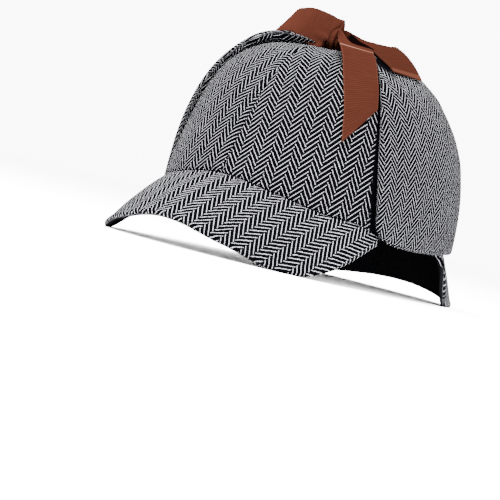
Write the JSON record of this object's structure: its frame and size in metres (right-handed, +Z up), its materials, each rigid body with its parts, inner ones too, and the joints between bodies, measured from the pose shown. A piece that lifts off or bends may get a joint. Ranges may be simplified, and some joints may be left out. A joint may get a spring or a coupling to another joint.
{
  "type": "deerstalker hat",
  "caption": "Tweed deerstalker hat with a panelled crown, front and rear peaks, and ear flaps folded up and tied over the top with a grosgrain ribbon.",
  "frame": {"origin": "centre of the bounding box on the floor that the hat rests on", "axes": "+Z up, -Y the way the front peak points, +X to the wearer's left"},
  "size_m": [0.1854, 0.2774, 0.1676],
  "materials": {
    "tweed": "black and white herringbone wool tweed",
    "peak_tweed": "stiffened black and white herringbone wool tweed",
    "flap_tweed": "padded black and white herringbone wool tweed",
    "ribbon": "reddish brown ribbed grosgrain"
  },
  "bodies": {
    "root": {"crown_panel_1": "tweed", "crown_panel_2": "tweed", "crown_panel_3": "tweed", "crown_panel_4": "tweed", "crown_panel_5": "tweed", "crown_panel_6": "tweed", "front_peak": "peak_tweed", "rear_peak": "peak_tweed", "ear_flap_left": "flap_tweed", "ear_flap_right": "flap_tweed", "ribbon_left": "ribbon", "ribbon_right": "ribbon", "ribbon_tail": "ribbon", "ribbon_knot": "ribbon"}
  },
  "joints": []
}
